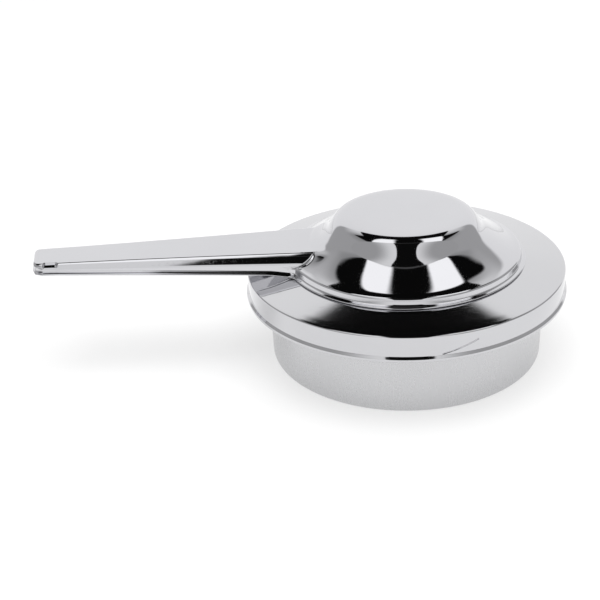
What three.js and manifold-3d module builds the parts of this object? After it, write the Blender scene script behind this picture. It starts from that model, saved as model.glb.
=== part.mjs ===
// Table-top fondue burner: a stepped drawn cup, a conical cover ring with a
// rolled skirt, a lift-out fuel insert with an absorbent pad under wire gauze,
// and a hat-shaped snuffer lid pressed in one piece with its long handle.
// Millimetres, +Z up. Origin: centre of the cup's flat underside.
// The handle runs along -X.

import * as THREE from 'three';
import { mergeVertices } from 'three/addons/utils/BufferGeometryUtils.js';
import Module from 'manifold-3d';

const wasm = await Module();
wasm.setup();

// ---------------------------------------------------------------- dimensions
const SEG = 64;                 // facets round the visible turned pieces
const SEG_IN = 48;              // facets round the inner pieces

// cup
const CUP_R = 43.2;             // outer radius of the straight wall
const CUP_R_FOOT = 42.8;        // outer radius just above the bottom corner
const CUP_CORNER = 1.3;         // bottom corner radius
const CUP_T = 0.7;              // sheet thickness
const CUP_STEP_Z = 20.3;        // where the wall starts to flare
const CUP_RIM_R = 48.55;        // outer radius of the wide rim
const CUP_RIM_Z = 27.7;         // top edge of the rim

// cover ring
const RING_EDGE_Z = 28.7;       // height of the sharp outer edge
const RING_R = 49.75;           // outer radius of the skirt
const RING_T = 0.8;             // sheet thickness
const RING_SLOPE = 0.165;       // rise of the conical top per mm of radius
const RING_HOLE_R = 31.6;       // inner radius of the turned-down collar
const COLLAR_Z = 27.2;          // lower edge of the collar
const BEAD_R = 50.3;            // outer radius of the rolled lower edge
const BEAD_Z = 21.55;           // centre height of the rolled lower edge

// fuel insert
const POT_R = 31.2;             // outer radius of the pot wall
const POT_T = 0.6;              // sheet thickness
const POT_Z = 2.0;              // underside of the pot
const POT_FLANGE_R = 34.1;      // outer radius of the hanging flange
const POT_FLANGE_Z = 32.05;     // underside of the flange
const PAD_R = 30.2;
const PAD_Z0 = 2.95;
const PAD_Z1 = 26.3;
const GAUZE_R = 30.2;
const GAUZE_Z0 = 26.65;
const GAUZE_Z1 = 27.25;
const CLIP_R_OUT = 30.25;       // gauze retaining ring
const CLIP_R_IN = 28.3;
const CLIP_Z0 = 27.6;
const CLIP_Z1 = 30.6;

// snuffer lid
const LID_T = 0.8;              // sheet thickness
const LID_RIM_R = 36.9;         // lower edge of the rim band
const LID_RIM_Z = 31.45;
const LID_CREASE_R = 35.3;      // where the cone bends down into the rim band
const LID_CREASE_Z = 33.9;
const LID_TOP_Z = 46.0;
// outer surface of the hat from just inside the crease to the crown's shoulder
const LID_HAT = [
  [33.8, 34.41], [32, 35.24], [29.8, 36.49], [27.5, 37.99], [25.6, 39.36], [24.6, 40.2], [23.8, 41.19],
  [22.6, 43.15], [21.6, 44.38], [20.6, 45.11], [19.4, 45.57], [17.6, 45.83], [14, 45.97],
];
// inner surface of the same sheet, from the crown to the rim
const LID_HAT_IN = [
  [14, 45.17], [17.55, 45.03], [19.2, 44.79], [20.22, 44.41], [21.05, 43.8], [21.93, 42.71], [23.13, 40.75],
  [24.04, 39.63], [25.11, 38.72], [27.05, 37.33], [29.38, 35.81], [31.63, 34.53], [33.51, 33.67],
];

// handle, pressed in one with the lid
const HANDLE_TIP = 117.9;       // distance of the tip from the axis
const HANDLE_Z30 = 37.62;       // height of the flat top 30 mm from the axis
const HANDLE_FALL = 0.0234;      // fall of the flat top per mm outwards
const HANDLE_T = 0.8;           // sheet thickness
const HANDLE_W_ROOT = 8.7;      // half width of the flat top at 35 mm
const HANDLE_W_TIP = 5.6;       // half width of the flat top at 115 mm
const FOLD_ROOT = 3.8;          // radius of the folded edges at 35 mm
const FOLD_TIP = 2.1;           // radius of the folded edges at 115 mm
const WALL_ROOT = 1.5;          // straight wall below the fold at 35 mm
const WALL_TIP = 0.5;           // straight wall below the fold at 115 mm
const END_CORNER = 2.4;         // plan radius of the end corners

// ------------------------------------------------------------------- helpers
const v2 = (r, z) => new THREE.Vector2(r, z);

// Points on an arc about (cr, cz), angles in degrees from +r towards +z.
function arc(cr, cz, rad, a0, a1, n) {
  const out = [];
  for (let i = 0; i <= n; i++) {
    const a = THREE.MathUtils.degToRad(a0 + ((a1 - a0) * i) / n);
    out.push([cr + rad * Math.cos(a), cz + rad * Math.sin(a)]);
  }
  return out;
}

// Indexed, merged, outward-facing copy of a geometry with positions only.
function tidy(geometry) {
  const g = geometry.clone();
  for (const name of Object.keys(g.attributes)) if (name !== 'position') g.deleteAttribute(name);
  const m = mergeVertices(g, 1e-4);
  const p = m.getAttribute('position');
  const idx = m.index.array;
  const keep = [];
  let volume = 0;
  const a = new THREE.Vector3(), b = new THREE.Vector3(), c = new THREE.Vector3();
  for (let i = 0; i < idx.length; i += 3) {
    const [i0, i1, i2] = [idx[i], idx[i + 1], idx[i + 2]];
    if (i0 === i1 || i1 === i2 || i0 === i2) continue;
    a.fromBufferAttribute(p, i0);
    b.fromBufferAttribute(p, i1);
    c.fromBufferAttribute(p, i2);
    volume += a.dot(b.clone().cross(c)) / 6;
    keep.push(i0, i1, i2);
  }
  if (volume < 0) for (let i = 0; i < keep.length; i += 3) [keep[i + 1], keep[i + 2]] = [keep[i + 2], keep[i + 1]];
  m.setIndex(keep);
  return m;
}

// Solid of revolution about +Z from a profile of [r, z] points. A profile that
// does not start and end on the axis is closed on itself.
function turned(points, seg) {
  const pts = points.map(([r, z]) => v2(r, z));
  const first = pts[0], last = pts[pts.length - 1];
  if (first.x > 1e-6 || last.x > 1e-6) pts.push(first.clone());
  const g = new THREE.LatheGeometry(pts, seg);
  g.rotateX(Math.PI / 2);
  return tidy(g);
}

function toSolid(geometry) {
  const g = tidy(geometry);
  return new wasm.Manifold(new wasm.Mesh({
    numProp: 3,
    vertProperties: new Float32Array(g.getAttribute('position').array),
    triVerts: new Uint32Array(g.index.array),
  }));
}

function fromSolid(solid) {
  const m = solid.getMesh();
  const g = new THREE.BufferGeometry();
  g.setAttribute('position', new THREE.BufferAttribute(new Float32Array(m.vertProperties), 3));
  g.setIndex(new THREE.BufferAttribute(new Uint32Array(m.triVerts), 1));
  return g;
}

function steel(colour, roughness, metalness = 1.0) {
  return new THREE.MeshStandardMaterial({ color: colour, roughness, metalness });
}

const burner = new THREE.Group();
function add(name, geometry, material) {
  geometry.computeVertexNormals();
  const mesh = new THREE.Mesh(geometry, material);
  mesh.name = name;
  burner.add(mesh);
  return mesh;
}

// ----------------------------------------------------------------- burner cup
// Deep-drawn: flat base, small corner, nearly straight wall, then a step out
// to the wide rim that the cover ring's skirt slips over.
{
  const T = CUP_T;
  const outer = [
    [0, 0],
    ...arc(CUP_R_FOOT - CUP_CORNER, CUP_CORNER, CUP_CORNER, -90, 0, 4),
    [CUP_R, CUP_STEP_Z],
    ...arc(CUP_R + 1.2, CUP_STEP_Z, 1.2, 180, 95, 3).slice(1),
    ...arc(CUP_RIM_R - 1.3, CUP_STEP_Z + 2.6, 1.3, -85, 0, 3),
    [CUP_RIM_R, CUP_RIM_Z],
  ];
  const inner = [
    [CUP_RIM_R - T, CUP_RIM_Z],
    ...arc(CUP_RIM_R - 1.3, CUP_STEP_Z + 2.6, 1.3 - T, 0, -85, 2),
    ...arc(CUP_R + 1.2, CUP_STEP_Z, 1.2 + T, 95, 180, 3),
    [CUP_R_FOOT - T, CUP_CORNER],
    ...arc(CUP_R_FOOT - CUP_CORNER, CUP_CORNER, CUP_CORNER - T, 0, -90, 2).slice(1),
    [0, T],
  ];
  add('burner_cup', turned([...outer, ...inner], SEG), steel(0xc4c4c4, 0.34));
}

// ----------------------------------------------------------------- cover ring
// Conical top, small rounded outer edge, vertical skirt with a rolled lower
// edge, and a turned-down collar round the flame opening.
const ringTop = (r) => RING_EDGE_Z + 0.25 + (49.3 - r) * RING_SLOPE;
{
  const T = RING_T;
  const rOut = RING_R;
  const outer = [
    [RING_HOLE_R, COLLAR_Z],
    [RING_HOLE_R, ringTop(RING_HOLE_R + 1) - 1.1],
    [RING_HOLE_R + 0.3, ringTop(RING_HOLE_R + 1) - 0.4],
    [RING_HOLE_R + 1.1, ringTop(RING_HOLE_R + 1.1)],
    [rOut - 1.1, ringTop(rOut - 1.1)],
    [rOut - 0.6, ringTop(rOut - 0.6) - 0.04],
    [rOut - 0.18, RING_EDGE_Z - 0.15],
    [rOut, RING_EDGE_Z - 0.75],
    [rOut, BEAD_Z + 0.8],
    [BEAD_R - 0.12, BEAD_Z + 0.38],
    [BEAD_R, BEAD_Z],
    [BEAD_R - 0.15, BEAD_Z - 0.45],
    [BEAD_R - 0.6, BEAD_Z - 0.7],
  ];
  const inner = [
    [rOut - T, BEAD_Z - 0.5],
    [rOut - T, RING_EDGE_Z - 0.9],
    [rOut - T - 0.35, ringTop(rOut - T) - T + 0.02],
    [RING_HOLE_R + T + 0.9, ringTop(RING_HOLE_R + T + 0.9) - T],
    [RING_HOLE_R + T, ringTop(RING_HOLE_R + T + 0.9) - T - 0.7],
    [RING_HOLE_R + T, COLLAR_Z],
  ];
  add('cover_ring', turned([...outer, ...inner], SEG), steel(0xd6d6d6, 0.12));
}

// ---------------------------------------------------------------- fuel insert
{
  const T = POT_T, R = POT_R, c = 1.6;
  add('fuel_pot', turned([
    [0, POT_Z],
    ...arc(R - c, POT_Z + c, c, -90, 0, 3),
    [R, POT_FLANGE_Z - 0.25],
    [R + 0.3, POT_FLANGE_Z],
    [POT_FLANGE_R, POT_FLANGE_Z],
    [POT_FLANGE_R, POT_FLANGE_Z + T],
    [R - T + 0.5, POT_FLANGE_Z + T],
    [R - T, POT_FLANGE_Z + T - 0.5],
    ...arc(R - c, POT_Z + c, c - T, 0, -90, 3),
    [0, POT_Z + T],
  ], SEG_IN), steel(0xbcbcba, 0.38));

  add('absorbent_pad', turned([
    [0, PAD_Z0], [PAD_R - 1.4, PAD_Z0], [PAD_R, PAD_Z0 + 1.4],
    [PAD_R, PAD_Z1 - 0.6], [PAD_R - 0.6, PAD_Z1], [0, PAD_Z1],
  ], SEG_IN), steel(0xe8e4da, 0.95, 0.0));

  add('wick_gauze', turned([
    [0, GAUZE_Z0], [GAUZE_R, GAUZE_Z0], [GAUZE_R, GAUZE_Z1], [0, GAUZE_Z1],
  ], SEG_IN), steel(0x9c9c9a, 0.45));

  add('gauze_ring', turned([
    [CLIP_R_IN + 0.5, CLIP_Z0],
    [CLIP_R_OUT - 0.5, CLIP_Z0],
    [CLIP_R_OUT, CLIP_Z0 + 0.5],
    [CLIP_R_OUT, CLIP_Z1],
    [CLIP_R_OUT - 0.6, CLIP_Z1],
    [CLIP_R_OUT - 0.6, CLIP_Z0 + 1.2],
    [CLIP_R_IN, CLIP_Z0 + 1.0],
    [CLIP_R_IN, CLIP_Z0 + 0.4],
  ], SEG_IN), steel(0xb4b4b2, 0.35));
}

// --------------------------------------------------- snuffer lid with handle
{
  // Outer surface of the hat, from the rim's lower edge to the crown's centre.
  const hat = [
    [LID_RIM_R, LID_RIM_Z],
    [LID_RIM_R - 0.5, LID_RIM_Z + 0.55],
    [LID_CREASE_R + 0.6, LID_CREASE_Z - 0.6],
    [LID_CREASE_R, LID_CREASE_Z],
    ...LID_HAT,
    [0, LID_TOP_Z],
  ];
  const inside = [
    [0, LID_TOP_Z - LID_T],
    ...LID_HAT_IN,
    [LID_CREASE_R - 0.4, LID_CREASE_Z - 0.9],
    [LID_RIM_R - LID_T, LID_RIM_Z],
  ];
  const shell = toSolid(turned([...hat, ...inside], SEG));
  // everything under the hat's outer surface, used to trim the handle's root
  const core = toSolid(turned([
    [0, LID_RIM_Z - 6],
    [LID_RIM_R - 0.3, LID_RIM_Z - 6],
    [LID_RIM_R - 0.3, LID_RIM_Z],
    ...hat.slice(1, -1).map(([r, z]) => [r - 0.25, z - 0.25]),
    [0, LID_TOP_Z - 0.3],
  ], SEG));

  // Inverted channel that tapers towards the tip. s is the distance from the
  // axis; each section runs outer side then inner side.
  const mix = (a, b, s) => a + ((b - a) * (s - 35)) / 80;
  function section(s) {
    const zt = HANDLE_Z30 - (s - 30) * HANDLE_FALL;
    const w = mix(HANDLE_W_ROOT, HANDLE_W_TIP, s);
    const f = mix(FOLD_ROOT, FOLD_TIP, s);
    const h = mix(WALL_ROOT, WALL_TIP, s);
    const back = s - (HANDLE_TIP - END_CORNER);
    const pull = back > 0 ? END_CORNER - Math.sqrt(Math.max(0, END_CORNER ** 2 - back ** 2)) : 0;
    const W = w + f - pull, ww = w - pull, T = HANDLE_T;
    const half = [[W, zt - f - h], ...arc(ww, zt - f, f, 0, 90, 5)];
    const halfIn = [[W - T, zt - f - h], ...arc(ww, zt - f, f - T, 0, 90, 5)];
    const loop = [
      ...half,
      ...half.slice().reverse().map(([y, z]) => [-y, z]),
      ...halfIn.map(([y, z]) => [-y, z]),
      ...halfIn.slice().reverse(),
    ];
    return loop.map(([y, z]) => [-s, y, z]);
  }
  const stations = [23.2, 28, 35, 45, 60, 75, 90, 103, 110, 115.5, 116.5, 117.2, 117.7, HANDLE_TIP];
  const rings = stations.map(section);
  const n = rings[0].length;
  const pos = [], tri = [];
  for (const ring of rings) for (const p of ring) pos.push(...p);
  for (let k = 0; k + 1 < rings.length; k++) {
    for (let i = 0; i < n; i++) {
      const a = k * n + i, b = k * n + ((i + 1) % n), c = a + n, d = b + n;
      tri.push(a, b, d, a, d, c);
    }
  }
  // end caps of the first and last section
  for (const [ring, base, flip] of [[rings[0], 0, true], [rings[rings.length - 1], (rings.length - 1) * n, false]]) {
    const shape = ring.map((p) => v2(p[1], p[2]));
    for (const [a, b, c] of THREE.ShapeUtils.triangulateShape(shape, [])) {
      if (flip) tri.push(base + a, base + c, base + b);
      else tri.push(base + a, base + b, base + c);
    }
  }
  const channelGeo = new THREE.BufferGeometry();
  channelGeo.setAttribute('position', new THREE.Float32BufferAttribute(pos, 3));
  channelGeo.setIndex(tri);
  let channel = toSolid(channelGeo);

  // turned-down end wall
  const zTip = HANDLE_Z30 - (HANDLE_TIP - 30) * HANDLE_FALL;
  const endWall = new THREE.BoxGeometry(HANDLE_T, 2 * HANDLE_W_TIP - 1.6, 2.5);
  endWall.translate(-(HANDLE_TIP - HANDLE_T / 2 - 0.02), 0, zTip - 1.25 - 0.25);
  channel = channel.add(toSolid(endWall));

  // relief notches between the end wall and the folded sides
  for (const side of [1, -1]) {
    const notch = new THREE.BoxGeometry(2.6, 4.0, 6);
    notch.translate(-(HANDLE_TIP - HANDLE_T - 1.5), side * (HANDLE_W_TIP + 2.3), zTip - 0.75 - 3);
    channel = channel.subtract(toSolid(notch));
    const corner = new THREE.BoxGeometry(3.0, 4.0, 6);
    corner.translate(-(HANDLE_TIP + 0.4), side * (HANDLE_W_TIP + 1.6), zTip - 1.0 - 3);
    channel = channel.subtract(toSolid(corner));
  }

  const lid = shell.add(channel.subtract(core));
  add('snuffer_lid', fromSolid(lid), steel(0xdcdcdc, 0.06));
}

export default burner;
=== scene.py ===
import math

import bpy
import numpy as np
from mathutils import Matrix, Vector

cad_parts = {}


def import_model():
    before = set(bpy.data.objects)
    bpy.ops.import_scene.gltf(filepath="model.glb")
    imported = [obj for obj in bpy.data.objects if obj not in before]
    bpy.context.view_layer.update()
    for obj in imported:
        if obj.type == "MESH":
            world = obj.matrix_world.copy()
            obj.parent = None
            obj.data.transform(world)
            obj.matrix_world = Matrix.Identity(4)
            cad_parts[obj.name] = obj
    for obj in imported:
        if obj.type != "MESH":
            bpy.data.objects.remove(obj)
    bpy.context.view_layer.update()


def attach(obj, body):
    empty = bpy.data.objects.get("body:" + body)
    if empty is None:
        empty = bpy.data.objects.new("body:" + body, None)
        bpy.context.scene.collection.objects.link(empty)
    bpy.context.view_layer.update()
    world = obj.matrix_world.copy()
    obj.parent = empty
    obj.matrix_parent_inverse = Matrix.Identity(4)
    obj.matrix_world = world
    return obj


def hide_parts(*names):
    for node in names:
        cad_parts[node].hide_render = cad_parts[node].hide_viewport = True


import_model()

# ---------------------------------------------------------------- sizes, in mm
MM = 0.001
RING_EDGE_Z = 28.7
PHI = math.radians(4.04)          # turn between the camera's frame and the handle


# ------------------------------------------------------------ profile and mesh
def rounded(path, n=8):
    """Points and outward normals along a polyline of (r, z, corner radius).
    The normal is to the left of the walking direction."""
    P = [np.array(p[:2], float) for p in path]
    R = [p[2] if len(p) > 2 else 0.0 for p in path]
    pts, nrm = [], []

    def left(d):
        return np.array([-d[1], d[0]])

    for i, p in enumerate(P):
        if i == 0 or i == len(P) - 1:
            d = P[1] - P[0] if i == 0 else P[-1] - P[-2]
            d = d / np.linalg.norm(d)
            pts.append(p)
            nrm.append(left(d))
            continue
        d0 = p - P[i - 1]
        d1 = P[i + 1] - p
        l0, l1 = np.linalg.norm(d0), np.linalg.norm(d1)
        d0, d1 = d0 / l0, d1 / l1
        cr = d0[0] * d1[1] - d0[1] * d1[0]
        ang = math.atan2(cr, float(d0 @ d1))
        if abs(ang) < 1e-4 or R[i] <= 0:
            b = d0 + d1
            b /= np.linalg.norm(b)
            pts.append(p)
            nrm.append(left(b))
            continue
        t = min(R[i] * math.tan(abs(ang) / 2), 0.49 * l0, 0.49 * l1)
        rad = t / math.tan(abs(ang) / 2)
        a = p - d0 * t
        c = a + left(d0) * math.copysign(rad, ang)
        k = max(3, int(math.ceil(n * abs(ang) / (math.pi / 2))))
        for j in range(k + 1):
            th = ang * j / k
            ca, sa = math.cos(th), math.sin(th)
            v = a - c
            w = np.array([v[0] * ca - v[1] * sa, v[0] * sa + v[1] * ca])
            d = np.array([d0[0] * ca - d0[1] * sa, d0[0] * sa + d0[1] * ca])
            pts.append(c + w)
            nrm.append(left(d))
    return np.array(pts), np.array(nrm)


def densify(pts, nrm, step, where=None):
    """Adds points on straight stretches longer than step."""
    op, on = [pts[0]], [nrm[0]]
    for i in range(1, len(pts)):
        L = np.linalg.norm(pts[i] - pts[i - 1])
        k = max(1, int(math.ceil(L / step)))
        for j in range(1, k + 1):
            f = j / k
            op.append(pts[i - 1] * (1 - f) + pts[i] * f)
            m = nrm[i - 1] * (1 - f) + nrm[i] * f
            on.append(m / np.linalg.norm(m))
    return np.array(op), np.array(on)


def make_object(name, verts, faces, loop_normals=None, vert_normals=None):
    me = bpy.data.meshes.new(name)
    me.from_pydata([tuple(float(c) * MM for c in v) for v in verts], [], [tuple(int(i) for i in f) for f in faces])
    me.validate(verbose=False)
    me.update()
    for p in me.polygons:
        p.use_smooth = True
    if vert_normals is not None:
        me.normals_split_custom_set_from_vertices([tuple(map(float, n)) for n in vert_normals])
    elif loop_normals is not None:
        flat = [None] * len(me.loops)
        for p in me.polygons:
            src = loop_normals[p.index]
            for k, li in enumerate(p.loop_indices):
                flat[li] = tuple(map(float, src[k]))
        me.normals_split_custom_set(flat)
    ob = bpy.data.objects.new(name, me)
    bpy.context.scene.collection.objects.link(ob)
    return ob


def revolve(name, pts, nrm, thetas=None, n=256, shape=None):
    """Solid of revolution of a closed profile, or of one that starts and ends
    on the axis. shape(r, z, theta) may push a point along its radius."""
    if thetas is None:
        thetas = np.linspace(0, 2 * math.pi, n, endpoint=False)
    m = len(thetas)
    pts = np.array(pts, float)
    nrm = np.array(nrm, float)
    on_axis = pts[0][0] < 1e-6 and pts[-1][0] < 1e-6
    verts, normals, index = [], [], []
    for (r, z), (nr, nz) in zip(pts, nrm):
        if r < 1e-6:
            index.append([len(verts)] * m)
            verts.append((0, 0, z))
            normals.append((0, 0, math.copysign(1, nz)))
            continue
        row = []
        for t in thetas:
            c, s = math.cos(t), math.sin(t)
            rr = r + (shape(r, z, t) if shape else 0.0)
            row.append(len(verts))
            verts.append((rr * c, rr * s, z))
            normals.append((nr * c, nr * s, nz))
        index.append(row)
    faces = []
    rows = list(range(len(index)))
    pairs = list(zip(rows[:-1], rows[1:]))
    if not on_axis:
        pairs.append((rows[-1], rows[0]))
    for a, b in pairs:
        A, B = index[a], index[b]
        for i in range(m):
            j = (i + 1) % m
            q = [A[i], A[j], B[j], B[i]]
            q2 = []
            for v in q:
                if v not in q2:
                    q2.append(v)
            if len(q2) >= 3:
                faces.append(q2)
    # outward facing: signed volume of the quads
    V = np.array(verts)
    vol = 0.0
    for f in faces:
        for k in range(1, len(f) - 1):
            vol += np.dot(V[f[0]], np.cross(V[f[k]], V[f[k + 1]]))
    if vol < 0:
        faces = [list(reversed(f)) for f in faces]
    if shape:
        return make_object(name, verts, faces)
    return make_object(name, verts, faces, vert_normals=normals)


def sheet_profile(outer, thickness, edge=0.3, step=0.8, n=8):
    """Closed profile of a pressed sheet from its outer path of (r, z, radius).
    The sheet lies to the right of the walking direction."""
    po, no = rounded(outer, n)
    pi, ni = po - no * thickness, -no
    # drop inner points that fold back on tight outside corners
    keep = [0]
    for i in range(1, len(pi)):
        a = po[i] - po[i - 1]
        b = pi[i] - pi[keep[-1]]
        if np.dot(a, b) > 1e-4 * np.linalg.norm(a):
            keep.append(i)
    pi, ni = pi[keep], ni[keep]
    po, no = densify(po, no, step)
    pi, ni = densify(pi, ni, step * 2)
    return po, no, pi, ni


def closed_sheet(outer, thickness, on_axis=False, step=0.8, n=8):
    po, no, pi, ni = sheet_profile(outer, thickness, step=step, n=n)
    pi, ni = pi[::-1], ni[::-1]

    def edge(p, q, npn, nq, k=5):
        c = (p + q) / 2
        rad = np.linalg.norm(p - q) / 2
        out = (npn + nq)
        d = (p - c) / max(rad, 1e-9)
        e = np.array([-d[1], d[0]])
        tang = p - q
        res, rn = [], []
        for j in range(1, k):
            th = math.pi * j / k
            for sgn in (1,):
                v = d * math.cos(th) + e * math.sin(th)
                res.append(c + v * rad)
                rn.append(v)
        return np.array(res), np.array(rn)

    P, N = [po], [no]
    # rounded sheet edge from the end of the outer path to the start of the inner
    def cap(p, nrm_p, direction):
        c = p - nrm_p * thickness / 2
        res, rn = [], []
        for j in range(1, 6):
            th = math.pi * j / 6
            v = nrm_p * math.cos(th) + direction * math.sin(th)
            res.append(c + v * thickness / 2)
            rn.append(v)
        return np.array(res), np.array(rn)

    if not on_axis or po[-1][0] > 1e-6:
        d = po[-1] - po[-2]
        d /= np.linalg.norm(d)
        r, rn = cap(po[-1], no[-1], d)
        P.append(r)
        N.append(rn)
    P.append(pi)
    N.append(ni)
    if not on_axis or po[0][0] > 1e-6:
        d = po[0] - po[1]
        d /= np.linalg.norm(d)
        r, rn = cap(po[0], no[0], d)
        P.append(r[::-1])
        N.append(rn[::-1])
    P = np.concatenate(P)
    N = np.concatenate(N)
    if on_axis:
        if po[0][0] < 1e-6:
            # both ends on the axis: outer start first, inner end last
            pass
        else:
            # the outer path ends on the axis: roll so that the axis is first
            k = len(po)
            P = np.concatenate([P[k:], P[:k]])
            N = np.concatenate([N[k:], N[:k]])
        P[0][0] = 0.0
        P[-1][0] = 0.0
    return P, N


# ------------------------------------------------------------------- materials
class Nodes:
    def __init__(self, tree):
        self.t = tree
        self.n = tree.nodes
        self.l = tree.links

    def new(self, kind, **props):
        node = self.n.new(kind)
        for k, v in props.items():
            setattr(node, k, v)
        return node

    def link(self, a, b):
        self.l.new(a, b)

    def math(self, op, a, b=None, c=None, clamp=False):
        node = self.new("ShaderNodeMath", operation=op, use_clamp=clamp)
        for i, v in enumerate((a, b, c)):
            if v is None:
                continue
            if isinstance(v, (int, float)):
                node.inputs[i].default_value = v
            else:
                self.link(v, node.inputs[i])
        return node.outputs[0]

    def ramp(self, x, lo, hi, a=0.0, b=1.0):
        node = self.new("ShaderNodeMapRange", interpolation_type="SMOOTHSTEP")
        self.link(x, node.inputs["Value"])
        node.inputs["From Min"].default_value = lo
        node.inputs["From Max"].default_value = hi
        node.inputs["To Min"].default_value = a
        node.inputs["To Max"].default_value = b
        return node.outputs["Result"]

    def inside(self, x, half, soft):
        """1 where |x| < half, with a soft edge."""
        return self.ramp(self.math("ABSOLUTE", x), half - soft, half + soft, 1.0, 0.0)


def metal(name, colour, rough, rough_var=0.03, grain=None, bump=0.02, wear=0.0, tint=None, scratch=0.35):
    """Polished or satin steel: uneven polish, fine directional grain, hairline
    scratches and slightly brighter, softer edges."""
    m = bpy.data.materials.new(name)
    m.use_nodes = True
    N = Nodes(m.node_tree)
    bsdf = m.node_tree.nodes["Principled BSDF"]
    bsdf.inputs["Metallic"].default_value = 1.0
    co = N.new("ShaderNodeTexCoord").outputs["Object"]

    def mapped(scale, loc=(0, 0, 0), rot=(0, 0, 0)):
        mp = N.new("ShaderNodeMapping")
        N.link(co, mp.inputs["Vector"])
        mp.inputs["Scale"].default_value = scale
        mp.inputs["Location"].default_value = loc
        mp.inputs["Rotation"].default_value = rot
        return mp.outputs["Vector"]

    def noise(vec, scale, detail=3.0, rough_=0.55):
        nz = N.new("ShaderNodeTexNoise")
        N.link(vec, nz.inputs["Vector"])
        nz.inputs["Scale"].default_value = scale
        nz.inputs["Detail"].default_value = detail
        nz.inputs["Roughness"].default_value = rough_
        return nz.outputs["Fac"]

    # broad unevenness of the polish
    broad = noise(mapped((1, 1, 1)), 45.0, 2.0)
    fine = noise(mapped((1, 1, 1), loc=(3, 1, 2)), 900.0, 2.0)
    # hairline scratches in two directions
    s1 = noise(mapped((1, 28, 6), rot=(0.2, 0.1, 0.6)), 260.0, 1.0)
    s2 = noise(mapped((24, 1, 5), loc=(5, 2, 1), rot=(0.1, 0.3, -0.4)), 230.0, 1.0)
    hair = N.math("MAXIMUM", N.ramp(s1, 0.66, 0.72), N.ramp(s2, 0.67, 0.73))
    r = N.math("MULTIPLY_ADD", broad, rough_var * 1.2, rough - rough_var * 0.6)
    r = N.math("MULTIPLY_ADD", fine, rough_var * 0.5, r)
    r = N.math("MULTIPLY_ADD", hair, rough_var * scratch, r)
    height = N.math("MULTIPLY_ADD", hair, -0.25, N.math("MULTIPLY", fine, 0.12))
    if grain:
        # drawn or spun grain: angular position in the metal, long along Z or round the axis
        sep = N.new("ShaderNodeSeparateXYZ")
        N.link(co, sep.inputs[0])
        ang = N.math("ARCTAN2", sep.outputs[1], sep.outputs[0])
        rad = N.math("SQRT", N.math("ADD", N.math("POWER", sep.outputs[0], 2.0), N.math("POWER", sep.outputs[1], 2.0)))
        cmb = N.new("ShaderNodeCombineXYZ")
        if grain == "vertical":
            N.link(N.math("MULTIPLY", N.math("COSINE", ang), 1.0), cmb.inputs[0])
            N.link(N.math("MULTIPLY", N.math("SINE", ang), 1.0), cmb.inputs[1])
            N.link(N.math("MULTIPLY", sep.outputs[2], 1.5), cmb.inputs[2])
            g1 = noise(cmb.outputs[0], 95.0, 3.0, 0.6)
            g2 = noise(cmb.outputs[0], 420.0, 2.0, 0.6)
        else:
            N.link(N.math("MULTIPLY", rad, 1.0), cmb.inputs[0])
            N.link(N.math("MULTIPLY", sep.outputs[2], 1.0), cmb.inputs[2])
            N.link(N.math("MULTIPLY", N.math("COSINE", ang), 0.0004), cmb.inputs[1])
            g1 = noise(cmb.outputs[0], 1500.0, 3.0, 0.6)
            g2 = noise(cmb.outputs[0], 5200.0, 2.0, 0.6)
        g = N.math("ADD", N.math("MULTIPLY", g1, 0.6), N.math("MULTIPLY", g2, 0.4))
        r = N.math("MULTIPLY_ADD", N.math("SUBTRACT", g, 0.5), rough_var * 2.2, r)
        height = N.math("ADD", height, N.math("MULTIPLY", g, 0.8))
    # rubbed edges
    geo = N.new("ShaderNodeNewGeometry")
    edge = N.ramp(geo.outputs["Pointiness"], 0.52, 0.60)
    r = N.math("MULTIPLY_ADD", edge, wear, r)
    N.link(N.math("MAXIMUM", r, 0.015), bsdf.inputs["Roughness"])
    # colour: slight mottling
    mix = N.new("ShaderNodeMix", data_type="RGBA")
    mott = noise(mapped((1, 1, 1), loc=(9, 4, 7)), 28.0, 4.0)
    fac = N.ramp(mott, 0.3, 0.75)
    N.link(fac, mix.inputs[0])
    c = np.array(colour)
    c2 = np.array(tint) if tint is not None else c * 0.965
    mix.inputs[6].default_value = (*c, 1)
    mix.inputs[7].default_value = (*c2, 1)
    N.link(mix.outputs[2], bsdf.inputs["Base Color"])
    b = N.new("ShaderNodeBump")
    b.inputs["Strength"].default_value = bump
    b.inputs["Distance"].default_value = 0.0001
    N.link(height, b.inputs["Height"])
    N.link(b.outputs["Normal"], bsdf.inputs["Normal"])
    return m


MAT_LID = metal("lid_polished", (0.605, 0.605, 0.628), 0.035, 0.02, bump=0.02, wear=0.02)
MAT_RING = metal("ring_polished", (0.600, 0.600, 0.618), 0.05, 0.025, bump=0.02, wear=0.02)
MAT_CUP = metal("cup_satin", (0.575, 0.576, 0.588), 0.27, 0.02, grain="vertical", bump=0.015, wear=0.03)
MAT_POT = metal("insert_drawn", (0.62, 0.61, 0.595), 0.33, 0.07, grain="spun", bump=0.12, wear=0.04, tint=(0.60, 0.55, 0.46))
MAT_GAUZE = metal("gauze_wire", (0.50, 0.49, 0.47), 0.38, 0.06, bump=0.05, tint=(0.42, 0.38, 0.32))


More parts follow.
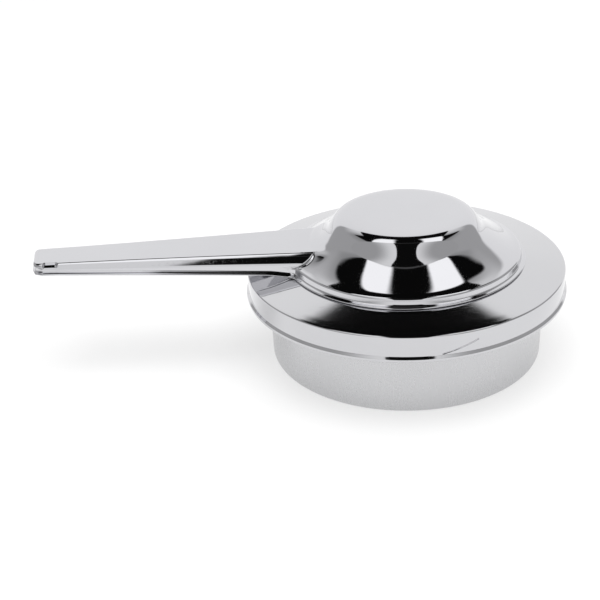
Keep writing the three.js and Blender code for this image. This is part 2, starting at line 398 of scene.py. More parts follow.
def fibre_material():
    m = bpy.data.materials.new("pad_fibre")
    m.use_nodes = True
    N = Nodes(m.node_tree)
    bsdf = m.node_tree.nodes["Principled BSDF"]
    co = N.new("ShaderNodeTexCoord").outputs["Object"]
    mp = N.new("ShaderNodeMapping")
    N.link(co, mp.inputs["Vector"])
    mp.inputs["Scale"].default_value = (1, 5, 2)
    nz = N.new("ShaderNodeTexNoise")
    N.link(mp.outputs[0], nz.inputs["Vector"])
    nz.inputs["Scale"].default_value = 700
    nz.inputs["Detail"].default_value = 6
    nz2 = N.new("ShaderNodeTexNoise")
    N.link(co, nz2.inputs["Vector"])
    nz2.inputs["Scale"].default_value = 120
    nz2.inputs["Detail"].default_value = 3
    mix = N.new("ShaderNodeMix", data_type="RGBA")
    N.link(N.ramp(nz2.outputs["Fac"], 0.35, 0.7), mix.inputs[0])
    mix.inputs[6].default_value = (0.80, 0.78, 0.72, 1)
    mix.inputs[7].default_value = (0.66, 0.62, 0.53, 1)
    N.link(mix.outputs[2], bsdf.inputs["Base Color"])
    N.link(N.math("MULTIPLY_ADD", nz.outputs["Fac"], 0.2, 0.75), bsdf.inputs["Roughness"])
    b = N.new("ShaderNodeBump")
    b.inputs["Strength"].default_value = 0.8
    b.inputs["Distance"].default_value = 0.0006
    N.link(nz.outputs["Fac"], b.inputs["Height"])
    N.link(b.outputs["Normal"], bsdf.inputs["Normal"])
    return m


MAT_PAD = fibre_material()


def dress(ob, mat, body, slot, *nodes):
    ob.data.materials.clear()
    ob.data.materials.append(mat)
    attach(ob, body)
    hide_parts(*nodes)
    return ob


# ------------------------------------------------------------------ burner cup
def build_cup():
    outer = [
        (0, 0.0), (42.8, 0.0, 1.25), (43.2, 20.6, 0.9), (48.5, 21.35, 1.1), (48.5, 27.62),
    ]
    # walk with the metal on the right: from the rim down to the centre
    path = outer[::-1]
    P, N = closed_sheet(path, 0.7, on_axis=True, step=1.2, n=10)
    return revolve("cup_shell", P, N, n=288)


# ------------------------------------------------------------------ cover ring
def ring_top(r):
    return RING_EDGE_Z + 0.25 + (49.3 - r) * 0.165


# shallow pressed lines on the skirt: (angle from the front in degrees, height)
SKIRT_LINE = ((12.3, 22.9), (16.0, 23.6), (19.5, 24.45), (22.5, 25.3), (24.6, 25.95))
SKIRT_WAVE = ((13.6, 25.1), (15.2, 25.5), (17.0, 25.35), (19.0, 25.75), (21.3, 26.0))
FRONT = -math.pi / 2 - PHI


def line_depth(t, z, line, depth, width):
    u = (t - FRONT + math.pi) % (2 * math.pi) - math.pi
    x = 49.6 * u
    best = 1e9
    for (a0, z0), (a1, z1) in zip(line[:-1], line[1:]):
        x0, x1 = 49.6 * math.radians(a0), 49.6 * math.radians(a1)
        dx, dz = x1 - x0, z1 - z0
        k = max(0.0, min(1.0, ((x - x0) * dx + (z - z0) * dz) / (dx * dx + dz * dz)))
        best = min(best, math.hypot(x - x0 - k * dx, z - z0 - k * dz))
    return -depth * math.exp(-(best / width) ** 2)


def skirt_shape(r, z, t):
    if r < 49.3 or z < 22.5 or z > 27.5:
        return 0.0
    u = (t - FRONT + math.pi) % (2 * math.pi) - math.pi
    if not 0.17 < u < 0.48:
        return 0.0
    return line_depth(t, z, SKIRT_LINE, 0.20, 0.17) + line_depth(t, z, SKIRT_WAVE, 0.06, 0.15)


def build_ring():
    # from the collar's lower edge, up and over the cone, down the skirt to the bead
    path = [
        (31.65, 27.35), (31.65, ring_top(31.65) + 0.1, 0.9),
        (46.5, ring_top(46.5)), (49.62, ring_top(49.62) - 0.04, 0.5),
        (49.62, 26.6), (49.56, 22.6, 0.35), (50.24, 21.9, 0.3), (50.24, 21.3),
    ]
    P, N = closed_sheet(path, 0.66, step=0.8, n=14)
    # finer rows on the skirt, where the pressed lines are
    pts, nrm = [P[0]], [N[0]]
    for i in range(1, len(P)):
        a, b = P[i - 1], P[i]
        L = np.linalg.norm(b - a)
        fine = min(a[0], b[0]) > 49.4 and min(a[1], b[1]) > 22.6 and max(a[1], b[1]) < 27.6
        k = max(1, int(math.ceil(L / 0.1))) if fine else 1
        for j in range(1, k + 1):
            f = j / k
            pts.append(a * (1 - f) + b * f)
            m = N[i - 1] * (1 - f) + N[i] * f
            nrm.append(m / np.linalg.norm(m))
    lo, hi = FRONT + 0.18, FRONT + 0.47
    coarse = [FRONT + 0.47 + (2 * math.pi - 0.29) * k / 340 for k in range(340)]
    dense = [lo + (hi - lo) * k / 150 for k in range(150)]
    thetas = np.array(sorted(set(coarse + [t + 2 * math.pi for t in dense])))
    return revolve("ring_shell", np.array(pts), np.array(nrm), thetas=thetas, shape=skirt_shape)


# ------------------------------------------------------------------ snuffer lid
HAT_Z = 45.96                     # top of the crown
CREASE_R = 35.3                   # where the cone bends down into the rim's wall
RIM_BEND = 0.8                    # radius of that bend
RIM_LIP = 0.55                    # concave bend below the rim's wall
RIM_WALL_Z = 32.2                 # lower end of the rim's wall
RIM_FLANGE = 0.75                 # width of the flat edge outside it
LIP_R = 0.45                      # concave bend below the handle's walls
FLANGE = 1.0                      # width of the flat edge outside it
LID_T = 0.5
TIP = 117.85
WALL_END = 113.7                  # here the fold and the walls turn round the end
END_FLAT = 116.1                  # the flat top ends here
END_FOLD = 0.5                    # the fold is tighter across the end
SKEW = 0.14                       # slant of the end in plan
SLIT = 13                         # lane below which the walls stand back at the end
LEVEL_START = 37.86               # height at which the handle's flat leaves the cone


def smooth01(x):
    x = min(max(x, 0.0), 1.0)
    return x * x * (3 - 2 * x)


# tilt of the hat's surface in degrees, by radius
HAT_R = (0, 14, 17, 18, 19, 20, 21, 22, 22.8, 23.4, 23.9, 24.4, 25.0, 26.2, 28.2, 30.3, 32.5, 34.0, 35.3)
HAT_A = (0, 0.3, 2, 5, 11, 20, 34, 50, 58.5, 60.5, 56, 47, 39.5, 35.8, 33.8, 30.8, 26.5, 20.5, 12.5)


def hat_profile():
    """Outer surface of the hat, centre to rim, as rows of (r, z)."""
    step = 0.05
    R = np.arange(0.0, CREASE_R + 1e-6, step)
    A = np.interp(R, HAT_R, HAT_A)
    for _ in range(2):
        A = np.convolve(np.pad(A, 4, mode="edge"), np.ones(9) / 9, mode="valid")
    mid = np.radians((A[:-1] + A[1:]) / 2)
    Z = HAT_Z - np.concatenate([[0.0], np.cumsum(np.tan(mid) * step)])
    pick = [0.0, 3.0, 6.0, 9.0, 12.0, 14.0, 15.5, 16.5, 17.2] + list(np.arange(17.6, 24.99, 0.15))
    rows = [(float(r), float(np.interp(r, R, Z))) for r in pick]
    fine = [(float(r), float(z)) for r, z in zip(R, Z) if r > 24.97]
    return rows, fine, fine[-1]


HAT_TOP, HAT_CONE, HAT_END = hat_profile()
CONE_R = np.array([p[0] for p in HAT_CONE])
CONE_Z = np.array([p[1] for p in HAT_CONE])


def cone_r(z):
    return float(np.interp(-z, -CONE_Z, CONE_R))


FULL_Z = np.arange(-39.6, -31.0, 0.02)
FULL = np.interp(FULL_Z, [-38.75, -38.45, -38.1, -37.8, -37.3, -36.8, -36.0, -35.2, -34.5, -33.8, -32.6, -31.9],
                 [0.0, 0.5, 1.7, 2.6, 3.1, 3.0, 2.5, 1.8, 1.2, 0.75, 0.25, 0.0])
for _ in range(3):
    FULL = np.convolve(np.pad(FULL, 8, mode="edge"), np.ones(17) / 17, mode="valid")
FULL = FULL * 0.6


def fullness(z):
    """How far the hat swells outwards beside the handle, by height."""
    return float(np.interp(-z, FULL_Z, FULL))


def swell(theta):
    return 1.0 - smooth01((abs(theta) - math.radians(17.0)) / math.radians(14))


def lip(ys, zs, radius, flange):
    """Adds a concave bend and a nearly flat edge to the foot of a wall."""
    rad = math.radians
    cy = ys[-1] + radius * math.sin(rad(78))
    cz = zs[-1] + radius * math.cos(rad(78))
    for a in (66, 50, 34, 22, 13):
        ys.append(cy - radius * math.sin(rad(a)))
        zs.append(cz - radius * math.cos(rad(a)))
    y0, z0 = ys[-1], zs[-1]
    for k in (0.06, 0.5, 0.94, 1.0):
        ys.append(y0 + flange * k * math.cos(rad(13)))
        zs.append(z0 - flange * k * math.sin(rad(13)))


def handle_section(s):
    """Half section of the handle s mm from the axis: lists of y and z from the
    edge of the flat top down to the lip, with the flat's half width first."""
    u = (min(s, 118.0) - 75) / 40
    w = 6.811 - 1.782 * u + 0.35 * u * u
    zt = 36.566 - 0.937 * u
    f = 3.004 - 0.965 * u
    zf = 33.717 + 0.556 * u - 0.32
    if s > 108:
        zf -= 0.02 * (s - 108)
    r1 = 0.7
    rad = math.radians
    ys, zs = [], []
    for a in (6, 12, 18):
        ys.append(w + r1 * math.sin(rad(a)))
        zs.append(zt - r1 * (1 - math.cos(rad(a))))
    cy = ys[-1] - f * math.sin(rad(18))
    cz = zs[-1] - f * math.cos(rad(18))
    for a in np.linspace(18, 78, 16)[1:]:
        ys.append(cy + f * math.sin(rad(a)))
        zs.append(cz + f * math.cos(rad(a)))
    y0, z0 = ys[-1], zs[-1]
    zf = min(zf, z0 - 0.02)
    for k in range(1, 15):
        t = k / 14
        z = z0 + (zf - z0) * t
        ys.append(y0 + (z0 - z) * math.tan(rad(8)))
        zs.append(z)
    lip(ys, zs, LIP_R, FLANGE)
    return w, zt, ys, zs


def rim_rows():
    """Rows of the hat below the flat of the handle, one for each lane of the
    handle's section."""
    _, _, ys, zs = handle_section(33.0)
    rows = []
    for z in zs[:18]:
        rows.append((cone_r(z), z))
    # cone end, bend, wall: 14 rows
    z0 = rows[-1][1]
    er, ez = HAT_END
    rad = math.radians
    tail = [(cone_r(z0 + (ez - z0) * t), z0 + (ez - z0) * t) for t in (0.5, 1.0)]
    cr = er - RIM_BEND * math.sin(rad(12.5))
    cz = ez - RIM_BEND * math.cos(rad(12.5))
    for a in np.linspace(12.5, 78, 12)[1:]:
        tail.append((cr + RIM_BEND * math.sin(rad(a)), cz + RIM_BEND * math.cos(rad(a))))
    r, z = tail[-1]
    tail.append((r + (z - RIM_WALL_Z) * math.tan(rad(11)), RIM_WALL_Z))
    rows += tail
    rr, rz = [rows[-1][0]], [rows[-1][1]]
    lip(rr, rz, RIM_LIP, RIM_FLANGE)
    rows += list(zip(rr[1:], rz[1:]))
    return rows


def thicken(verts, faces, T, segs=4):
    """Closed sheet-metal shell of thickness T inside an open outer surface,
    with half-round edges."""
    V = np.array(verts, float)
    nV = len(V)
    Nn = np.zeros_like(V)
    for f in faces:
        p = V[list(f)]
        n = np.zeros(3)
        for k in range(len(f)):
            n += np.cross(p[k], p[(k + 1) % len(f)])
        ln = np.linalg.norm(n)
        if ln > 0:
            n /= ln
        for k, vi in enumerate(f):
            a = p[(k + 1) % len(f)] - p[k]
            b = p[k - 1] - p[k]
            w = math.acos(max(-1, min(1, float(a @ b) / (np.linalg.norm(a) * np.linalg.norm(b) + 1e-12))))
            Nn[vi] += n * w
    Nn /= np.maximum(np.linalg.norm(Nn, axis=1), 1e-12)[:, None]
    count = {}
    for f in faces:
        for k in range(len(f)):
            a, b = f[k], f[(k + 1) % len(f)]
            count[(a, b)] = count.get((a, b), 0) + 1
    border = [(a, b) for (a, b) in count if (b, a) not in count]
    out = list(map(tuple, V))
    inner = V - Nn * T
    out += list(map(tuple, inner))
    fs = [tuple(f) for f in faces] + [tuple(i + nV for i in reversed(f)) for f in faces]
    # outward direction in the sheet at border vertices
    B = {}
    for a, b in border:
        t = V[b] - V[a]
        t /= np.linalg.norm(t) + 1e-12
        for v in (a, b):
            o = np.cross(t, Nn[v])
            B[v] = B.get(v, np.zeros(3)) + o
    ring = {}
    for v, o in B.items():
        o = o / (np.linalg.norm(o) + 1e-12)
        ids = [v]
        mid = V[v] - Nn[v] * T / 2
        for j in range(1, segs):
            th = math.pi * j / segs
            out.append(tuple(mid + Nn[v] * (T / 2) * math.cos(th) + o * (T / 2) * math.sin(th)))
            ids.append(len(out) - 1)
        ids.append(v + nV)
        ring[v] = ids
    for a, b in border:
        A, C = ring[a], ring[b]
        for j in range(segs):
            fs.append((C[j], A[j], A[j + 1], C[j + 1]))
    return out, fs


def build_lid():
    verts, faces = [], []

    def vert(x, y, z):
        verts.append((x, y, z))
        return len(verts) - 1

    def polar(r, th, z):
        # the angle is counted from the handle's direction
        return vert(-r * math.cos(th), r * math.sin(th), z)

    rows = rim_rows()
    nl = len(rows)
    fillet = list(np.interp(range(nl), [0, 3, 10, 18, 32, nl - 1], [0.25, 0.35, 0.9, 1.8, 3.0, 3.4]))
    # starts of the lanes: contact of a fillet with the hat, in plan
    starts = []
    for i, (r0, z) in enumerate(rows):
        r = r0 + fullness(z)
        rho = fillet[i]
        s = 34.0
        for _ in range(4):
            w, zt, ys, zs = handle_section(s)
            y0 = ys[i]
            s = math.sqrt((r + rho) ** 2 - (y0 + rho) ** 2)
        k = r / (r + rho)
        starts.append((s, y0, rho, s * k, (y0 + rho) * k, r))
    # flat lanes: start on the level row of the hat
    rs = cone_r(LEVEL_START) + fullness(LEVEL_START)
    flats = (0.0, 0.15, 0.3, 0.45, 0.6, 0.72, 0.83, 0.91, 0.96, 1.0)
    w_root = handle_section(29.0)[0]
    fl = []
    for t in flats:
        y = t * w_root
        fl.append((math.sqrt(rs * rs - y * y), y))

    # stations
    n_f, n_m, mid = 8, 26, 47.0
    tail = list(np.linspace(mid, 107.4, 44)[1:]) + [
        108.0, 108.5, 108.65, 108.8, 108.95, 109.1, 109.6, 110.4, 111.2, 112.0, 112.7,
        113.1, 113.2, 113.3, 113.4, 113.5, WALL_END]

    def relief(s):
        """Pressed relief behind the end corners."""
        return smooth01((s - 108.5) / 0.6) * smooth01((113.5 - s) / 0.4)

    def lane_flat(t, sgn, first):
        s0, y0 = fl[flats.index(t)]
        ids = [first]
        slope0 = math.tan(math.radians(22))
        L = 2 * (LEVEL_START - handle_section(s0)[1]) / slope0
        for k in range(1, n_f + 1):
            s = s0 + L * k / n_f
            w, zt, _, _ = handle_section(s)
            d = 1 - k / n_f
            y = y0 + (t * w - y0) * smooth01((s - s0) / 6.0)
            ids.append(vert(-s, sgn * y, zt + slope0 * L / 2 * d * d))
        s1 = s0 + L
        for k in range(1, n_m + 1):
            s = s1 + (mid - s1) * k / n_m
            w, zt, _, _ = handle_section(s)
            y = y0 + (t * w - y0) * smooth01((s - s0) / 6.0)
            ids.append(vert(-s, sgn * y, zt))
        for s in tail:
            w, zt, _, _ = handle_section(s)
            g = relief(s) if sgn < 0 else 0.0
            ids.append(vert(-s, sgn * (t * w - 0.35 * g * smooth01((t - 0.8) / 0.2)), zt))
        return ids

    def lane_side(i, sgn, first):
        sc, y0, rho, sx, sy, r = starts[i]
        z_row = rows[i][1]
        th1 = math.atan2(sy, sx)
        ids = [first]
        # fillet from the hat's circle to the straight lane
        a_end = math.pi / 2 - math.atan2(sc, y0 + rho)      # turn of the fillet
        c = (sc, y0 + rho)
        v0 = (sx - c[0], sy - c[1])
        ang0 = math.atan2(v0[1], v0[0])
        ang1 = -math.pi / 2
        while ang1 - ang0 > math.pi:
            ang1 -= 2 * math.pi
        while ang1 - ang0 < -math.pi:
            ang1 += 2 * math.pi

        def height(s):
            zs = handle_section(s)[3][i]
            return z_row + (zs - z_row) * smooth01((s - sx) / 9.0)

        for k in range(1, n_f + 1):
            a = ang0 + (ang1 - ang0) * k / n_f
            s = c[0] + rho * math.cos(a)
            y = c[1] + rho * math.sin(a)
            ids.append(vert(-s, sgn * y, height(s)))
        for k in range(1, n_m + 1):
            s = sc + (mid - sc) * k / n_m
            y = handle_section(s)[2][i]
            ids.append(vert(-s, sgn * y, height(s)))
        for s in tail:
            w, zt, ys, zs = handle_section(s)
            y, z, g = ys[i], zs[i], relief(s)
            if g > 0 and i <= SLIT and sgn < 0:
                t = i / SLIT
                y += g * ((w - 0.33) * (1 - t) + ys[SLIT] * t - y)
                z += g * ((zt - 0.55) * (1 - t) + zs[SLIT] * t - z)
            ids.append(vert(-s, sgn * y, z))
        return ids

    # hat rows above the handle, full circles
    M = 250
    th_in = [math.atan2(y, s) for s, y in fl]
    inner_cols = [-t for t in reversed(th_in[1:])] + th_in       # 19 columns
    upper = [p for p in HAT_TOP] + [p for p in HAT_CONE if p[1] > LEVEL_START + 0.06][4::6]
    upper.append((cone_r(LEVEL_START), LEVEL_START))

    def columns(th_edge):
        outer = [th_edge + (2 * math.pi - 2 * th_edge) * j / M for j in range(1, M)]
        return outer

    full = []
    for r0, z in upper:
        if r0 < 1e-6:
            full.append([polar(0, 0, z)] * (len(inner_cols) + M - 1))
            continue
        row = []
        for th in inner_cols + columns(th_in[-1]):
            d = (th + math.pi) % (2 * math.pi) - math.pi
            row.append(polar(r0 + fullness(z) * swell(d), th, z))
        full.append(row)
    nc = len(full[0])
    for a, b in zip(full[:-1], full[1:]):
        for j in range(nc):
            k = (j + 1) % nc
            q = []
            for v in (a[j], b[j], b[k], a[k]):
                if v not in q:
                    q.append(v)
            faces.append(q)
    last = full[-1]
    ni = len(inner_cols)
    # lanes
    left, right = [], []
    for t in flats:
        i = flats.index(t)
        right.append(lane_flat(t, 1, last[ni - len(flats) + i]))
        left.append(lane_flat(t, -1, last[len(flats) - 1 - i]) if t > 0 else right[0])
    prev = [last[ni - 1]] + last[ni:] + [last[0]]
    for i, (r0, z) in enumerate(rows):
        sc, y0, rho, sx, sy, r = starts[i]
        th_e = math.atan2(sy, sx)
        row = []
        for j in range(M + 1):
            th = th_e + (2 * math.pi - 2 * th_e) * j / M
            d = (th + math.pi) % (2 * math.pi) - math.pi
            row.append(polar(r0 + fullness(z) * swell(d), th, z))
        for j in range(M):
            faces.append([prev[j], row[j], row[j + 1], prev[j + 1]])
        right.append(lane_side(i, 1, row[0]))
        left.append(lane_side(i, -1, row[-1]))
        prev = row
    # round the end: plan curve of the flat's edge, one station for each flat lane
    n = len(right[0])
    nf = len(flats)
    w_end, zt_end, ys_end, zs_end = handle_section(WALL_END)
    Rc = 1.6
    edge = []
    for t in reversed(flats[:-1]):
        y = t * w_end
        e = y - (w_end - Rc)
        if e > 0:
            ph = math.acos(min(1.0, e / Rc))
            edge.append((END_FLAT - Rc + Rc * math.sin(ph), y, math.sin(ph), math.cos(ph)))
        else:
            edge.append((END_FLAT, y, 1.0, 0.0))
    centre_ids = {}
    for side, sg in ((right, 1), (left, -1)):
        for i in range(len(side)):
            for k, (s, y, ns, ny) in enumerate(edge):
                last_one = k == len(edge) - 1
                if last_one and i in centre_ids:
                    side[i].append(centre_ids[i])
                    continue
                if i < nf - 1:
                    # flat lanes run straight on to their own station of the edge
                    t = flats[i]
                    k_end = nf - 2 - i
                    if k > k_end:
                        break
                    es, ey, _, _ = edge[k_end]
                    u = (k + 1) / (k_end + 1)
                    if sg < 0 and i == 0:
                        break
                    side[i].append(vert(-(WALL_END + (es - WALL_END) * u), sg * t * w_end, zt_end))
                    continue
                if i == nf - 1:
                    # the edge itself: shared with the ends of the flat lanes
                    side[i].append(side[nf - 2 - k][-1] if k < nf - 1 else side[0][-1])
                    continue
                j = i - nf
                d = ys_end[j] - w_end
                z = zs_end[j]
                if j >= SLIT:
                    g = smooth01((k + 1) / 3.0)
                    d -= 1.35 * g
                    z += 0.35 * g * max(0.0, 1 - (j - SLIT) / 6.0)
                v = vert(-(s + ns * d * END_FOLD), sg * (y + ny * d), z)
                side[i].append(v)
                if last_one:
                    centre_ids[i] = v
    for side, sg in ((right, 1), (left, -1)):
        for i in range(len(side) - 1):
            m = min(len(side[i]), len(side[i + 1]))
            for j in range(m - 1):
                if i == nf + SLIT - 1 and j >= n:
                    continue
                q = []
                for v in (side[i][j], side[i][j + 1], side[i + 1][j + 1], side[i + 1][j]):
                    if v not in q:
                        q.append(v)
                if len(q) < 3:
                    continue
                if sg < 0:
                    q = q[::-1]
                faces.append(q)
            # the last bit of a flat lane that is longer than its neighbour
            if i < nf - 1 and len(side[i]) > len(side[i + 1]):
                q = [side[i][m - 1]] + side[i][m:] + [side[i + 1][m - 1]]
                q = list(dict.fromkeys(q))
                if len(q) >= 3:
                    faces.append(q[::-1] if sg < 0 else q)
    # the end of the handle is cut a little askew, and its near corner is shorter
    for k, (x, y, z) in enumerate(verts):
        if -x > 104.0:
            verts[k] = (x - SKEW * y * smooth01((-x - 104.0) / 9.0), y, z)
    V = np.array(verts)
    # outward: the middle of the crown must look up
    f = faces[nc * 3]
    nrm = np.cross(V[f[1]] - V[f[0]], V[f[2]] - V[f[0]])
    if nrm[2] < 0:
        faces = [q[::-1] for q in faces]
    out, fs = thicken(verts, faces, LID_T, 4)
    return make_object("lid_shell", out, fs)


# ------------------------------------------------------------------ fuel insert
def build_pot():
    path = [(34.0, 32.08), (31.15, 32.08, 0.5), (31.15, 2.05, 1.7), (0, 2.05)]
    # outside of the pot is the underside of the flange, the wall and the base
    P, N = closed_sheet(path, 0.55, on_axis=True, step=1.5, n=8)
    return revolve("pot_shell", P, N, n=192)


# ---------------------------------------------------------- pad, gauze, its ring
def build_clip():
    """Pressed ring with an inward lip that holds the gauze down."""
    path = [(30.2, 30.55), (30.2, 27.65, 0.6), (28.35, 27.72)]
    P, N = closed_sheet(path, 0.5, step=0.8, n=8)

    def dimples(r, z, t):
        # three small detents pressed inwards to grip the pot
        d = min(abs((t - a + math.pi) % (2 * math.pi) - math.pi) for a in (0.5, 2.594, 4.689)) * 30.0
        return -0.28 * math.exp(-(d / 0.9) ** 2 - ((z - 29.4) / 0.6) ** 2) if r > 29.3 else 0.0

    return revolve("clip_ring", *densify(P, N, 0.4), n=288, shape=dimples)


def build_pad():
    """Cut disc of mineral wool: bundles of fibre, a soft uneven surface."""
    path = [(0, 3.0), (30.1, 3.0, 1.2), (30.1, 26.2, 1.4), (0, 26.2)]
    P, N = rounded(path, 8)
    P, N = densify(P, N, 0.45)
    verts, faces, rows = [], [], []
    M = 420
    for (r, z), (nr, nz) in zip(P, N):
        if r < 1e-6:
            rows.append([len(verts)] * M)
            verts.append((0, 0, z))
            continue
        row = []
        for k in range(M):
            t = 2 * math.pi * k / M
            x, y = r * math.cos(t), r * math.sin(t)
            u = math.sin(3.1 * z + 9 * t) * math.sin(2.3 * z - 23 * t + 1) + 0.6 * math.sin(5.3 * z + 61 * t + 2 * math.sin(7 * t))
            v = math.sin(1.9 * x + 1.3 * math.sin(0.8 * y)) * math.sin(2.2 * y + 1.1 * math.sin(1.1 * x)) \
                + 0.6 * math.sin(4.3 * x + 3.1 * y) * math.sin(3.9 * y - 2.7 * x)
            side = smooth01((r - 28.5) / 1.4)
            d = 0.10 * (u * side + v * (1 - side)) / 1.6 + 0.11
            # nr, nz point into the piece here when walking up the outside
            sgn = 1.0 if (nr * 1.0 < 0 or (r < 28.9 and (nz < 0) == (z > 15))) else -1.0
            row.append(len(verts))
            verts.append(((r + sgn * d * nr) * math.cos(t), (r + sgn * d * nr) * math.sin(t), z + sgn * d * nz))
        rows.append(row)
    for A, B in zip(rows[:-1], rows[1:]):
        for i in range(M):
            j = (i + 1) % M
            q = list(dict.fromkeys([A[i], A[j], B[j], B[i]]))
            if len(q) >= 3:
                faces.append(q)
    return make_object("pad_body", verts, faces)


def build_gauze():
    """Plain-woven wire gauze, each wire going over and under in turn."""
    pitch, rad, amp, R = 1.25, 0.135, 0.150, 30.05
    sides, verts, faces = 6, [], []
    n = int(R / pitch)
    zc = 26.95
    for axis in (0, 1):
        for k in range(-n, n + 1):
            o = k * pitch
            half = math.sqrt(max(0.0, R * R - o * o)) - 0.05
            if half < 1.5:
                continue
            steps = max(4, int(round(2 * half / (pitch / 5))))
            base = len(verts)
            sign = 1 if (k + axis) % 2 == 0 else -1
            for i in range(steps + 1):
                s = -half + 2 * half * i / steps
                z = zc + sign * amp * math.cos(math.pi * s / pitch)
                dz = -sign * amp * math.pi / pitch * math.sin(math.pi * s / pitch)
                L = math.hypot(1, dz)
                for a in range(sides):
                    th = 2 * math.pi * a / sides
                    lat, up = rad * math.cos(th), rad * math.sin(th)
                    ps, po, pz = s - up * dz / L, o + lat, z + up / L
                    verts.append((ps, po, pz) if axis == 0 else (-po, ps, pz))
            for i in range(steps):
                for a in range(sides):
                    b = (a + 1) % sides
                    p, q = base + i * sides, base + (i + 1) * sides
                    faces.append((p + b, q + b, q + a, p + a))
            faces.append(tuple(base + a for a in reversed(range(sides))))
            end = base + steps * sides
            faces.append(tuple(end + a for a in range(sides)))
    return make_object("gauze_weave", verts, faces)


# ---------------------------------------------------------------- stage, light
def stage():
    me = bpy.data.meshes.new("floor")
    s = 4.0
    me.from_pydata([(-s, -s, 0), (s, -s, 0), (s, s, 0), (-s, s, 0)], [], [(0, 1, 2, 3)])
    ob = bpy.data.objects.new("floor", me)
    bpy.context.scene.collection.objects.link(ob)
    ob.location.z = -0.0002
    m = bpy.data.materials.new("floor")
    m.use_nodes = True
    b = m.node_tree.nodes["Principled BSDF"]
    b.inputs["Roughness"].default_value = 0.9
    b.inputs["Specular IOR Level"].default_value = 0.1
    b.inputs["Base Color"].default_value = (0.38, 0.38, 0.38, 1)
    b.inputs["Emission Color"].default_value = (1, 1, 1, 1)
    b.inputs["Emission Strength"].default_value = 0.61
    me.materials.append(m)


def world():
    w = bpy.data.worlds.new("studio")
    bpy.context.scene.world = w
    w.use_nodes = True
    N = Nodes(w.node_tree)
    bg = w.node_tree.nodes["Background"]
    co = N.new("ShaderNodeTexCoord").outputs["Generated"]
    sep = N.new("ShaderNodeSeparateXYZ")
    N.link(co, sep.inputs[0])
    x0, y0, z = sep.outputs
    c, s = math.cos(PHI), math.sin(PHI)
    x = N.math("SUBTRACT", N.math("MULTIPLY", x0, c), N.math("MULTIPLY", y0, s))
    y = N.math("ADD", N.math("MULTIPLY", x0, s), N.math("MULTIPLY", y0, c))
    zz = N.math("MAXIMUM", z, 0.02)
    X = N.math("DIVIDE", x, zz)
    Y = N.math("DIVIDE", y, zz)
    ax = N.math("ABSOLUTE", x)
    # walls: bright behind, grey at the sides
    low = N.ramp(z, 0.5, 0.75, 1.0, 0.0)
    wall = N.math("ADD", N.math("MULTIPLY", N.ramp(y, 0.3, 0.78, 0.36, 1.06), N.math("SUBTRACT", 1.0, low)),
                  N.math("MULTIPLY", N.ramp(y, 0.66, 0.72, 0.49, 1.08), low))
    # dark ceiling behind the soft boxes
    side = 0.84
    left = N.ramp(N.math("ADD", X, side), -0.07, 0.07)
    right = N.ramp(X, 0.84, 0.98, 1.0, 0.0)
    # it reaches highest in the middle
    top = N.math("ADD", N.ramp(X, -0.52, -0.30, 0.50, 1.07),
                 N.math("SUBTRACT", N.ramp(X, 0.48, 0.85, 0.0, 0.28), N.ramp(X, 0.30, 0.50, 0.0, 0.62)))
    ceil = N.math("MULTIPLY", N.math("MULTIPLY", left, right),
                  N.math("MULTIPLY", N.ramp(Y, -0.185, -0.12),
                         N.ramp(N.math("SUBTRACT", Y, top), -0.04, 0.04, 1.0, 0.0)))
    # two soft boxes overhead, with a dark strip between them
    def upto(v, limit):
        return N.ramp(v, limit - 0.03, limit + 0.03, 1.0, 0.0)

    def beyond(v, limit):
        return N.ramp(v, limit - 0.03, limit + 0.03)

    def lean(k, sign):
        return N.math("ADD", N.math("MULTIPLY", Y, k), N.math("MULTIPLY", X, sign))

    pr = N.math("MULTIPLY", beyond(lean(0.30, 1.0), 0.27), upto(lean(0.65, 1.0), 0.72))
    pl = N.math("MULTIPLY", beyond(lean(0.12, -1.0), 0.14), upto(lean(0.75, -1.0), 0.54))
    patch = N.math("MULTIPLY", N.math("MAXIMUM", pl, pr), N.math("MULTIPLY", beyond(Y, -0.15), upto(Y, 0.42)))
    # two white panels in front, with the dark gap of the camera between them
    front = N.ramp(Y, -0.175, -0.13, 1.0, 0.0)
    panel = N.math("ADD", N.ramp(ax, 0.22, 0.62, 0.52, 0.0), 0.47)
    gap = N.math("MULTIPLY", N.math("MULTIPLY", N.ramp(x, -0.184, -0.172), N.ramp(x, 0.252, 0.266, 1.0, 0.0)),
                 N.ramp(z, 0.25, 0.31))
    panel = N.math("MULTIPLY", panel, N.math("SUBTRACT", 1.0, N.math("MULTIPLY", gap, 0.995)))
    v = N.math("MULTIPLY", wall, N.math("SUBTRACT", 1.0, ceil))
    v = N.math("ADD", v, N.math("MULTIPLY", ceil, 0.004))
    v = N.math("ADD", v, N.math("MULTIPLY", patch, 1.45))
    v = N.math("ADD", N.math("MULTIPLY", v, N.math("SUBTRACT", 1.0, front)), N.math("MULTIPLY", front, panel))
    N.link(v, bg.inputs["Strength"])
    bg.inputs["Color"].default_value = (1, 1, 1, 1)


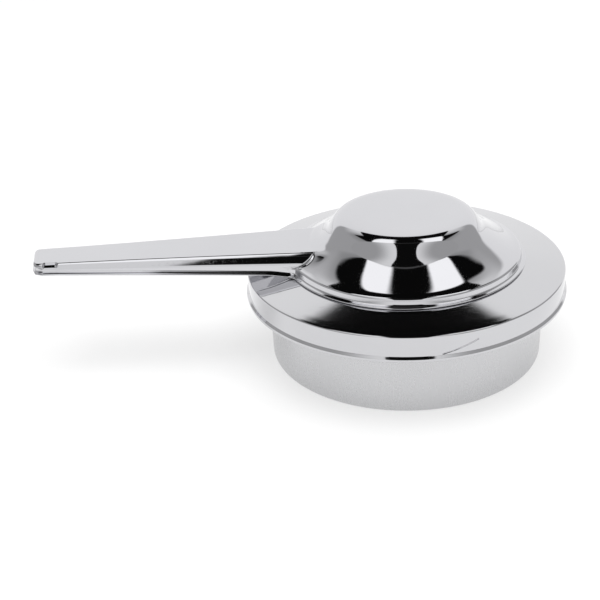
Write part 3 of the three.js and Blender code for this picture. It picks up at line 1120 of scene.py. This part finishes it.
def lights():
    def area(name, loc, size, power, target=(0, 0, 0.0)):
        l = bpy.data.lights.new(name, "AREA")
        l.shape = "DISK"
        l.size = size
        l.energy = power
        ob = bpy.data.objects.new(name, l)
        ob.location = loc
        d = Vector(target) - Vector(loc)
        ob.rotation_euler = d.to_track_quat("-Z", "Y").to_euler()
        bpy.context.scene.collection.objects.link(ob)
        ob.visible_glossy = False
        return ob

    area("overhead", (0.05, -0.1, 1.3), 1.6, 17.0)


def camera():
    cam = bpy.data.cameras.new("camera")
    cam.sensor_width = 36.0
    cam.lens = 36.0 * 1200.0 / 600.0
    cam.clip_start = 0.01
    cam.clip_end = 50.0
    ob = bpy.data.objects.new("camera", cam)
    bpy.context.scene.collection.objects.link(ob)
    bpy.context.scene.camera = ob
    c, s = math.cos(PHI), math.sin(PHI)

    def turn(v):
        return Vector((v[0] * c + v[1] * s, -v[0] * s + v[1] * c, v[2]))

    pos = turn((0.0, -0.34307989, 0.16253697 + RING_EDGE_Z * MM))
    fwd = turn((-0.08717391, 0.88657071, -0.45430505)).normalized()
    right = turn((0.9961685, 0.07437403, -0.04600888)).normalized()
    up = right.cross(fwd).normalized()
    M = Matrix((
        (right.x, up.x, -fwd.x, pos.x),
        (right.y, up.y, -fwd.y, pos.y),
        (right.z, up.z, -fwd.z, pos.z),
        (0, 0, 0, 1),
    ))
    ob.matrix_world = M
    return ob


stage()
world()
lights()
camera()
bpy.context.scene.view_settings.view_transform = "Standard"
bpy.context.scene.view_settings.look = "None"

dress(build_cup(), MAT_CUP, "cup", "cup_steel", "burner_cup")
dress(build_ring(), MAT_RING, "cover", "ring_steel", "cover_ring")
dress(build_pot(), MAT_POT, "insert", "insert_steel", "fuel_pot")

dress(build_lid(), MAT_LID, "lid", "lid_steel", "snuffer_lid")

dress(build_clip(), MAT_POT, "insert", "insert_steel", "gauze_ring")
dress(build_gauze(), MAT_GAUZE, "insert", "gauze_wire", "wick_gauze")
dress(build_pad(), MAT_PAD, "insert", "pad_fibre", "absorbent_pad")
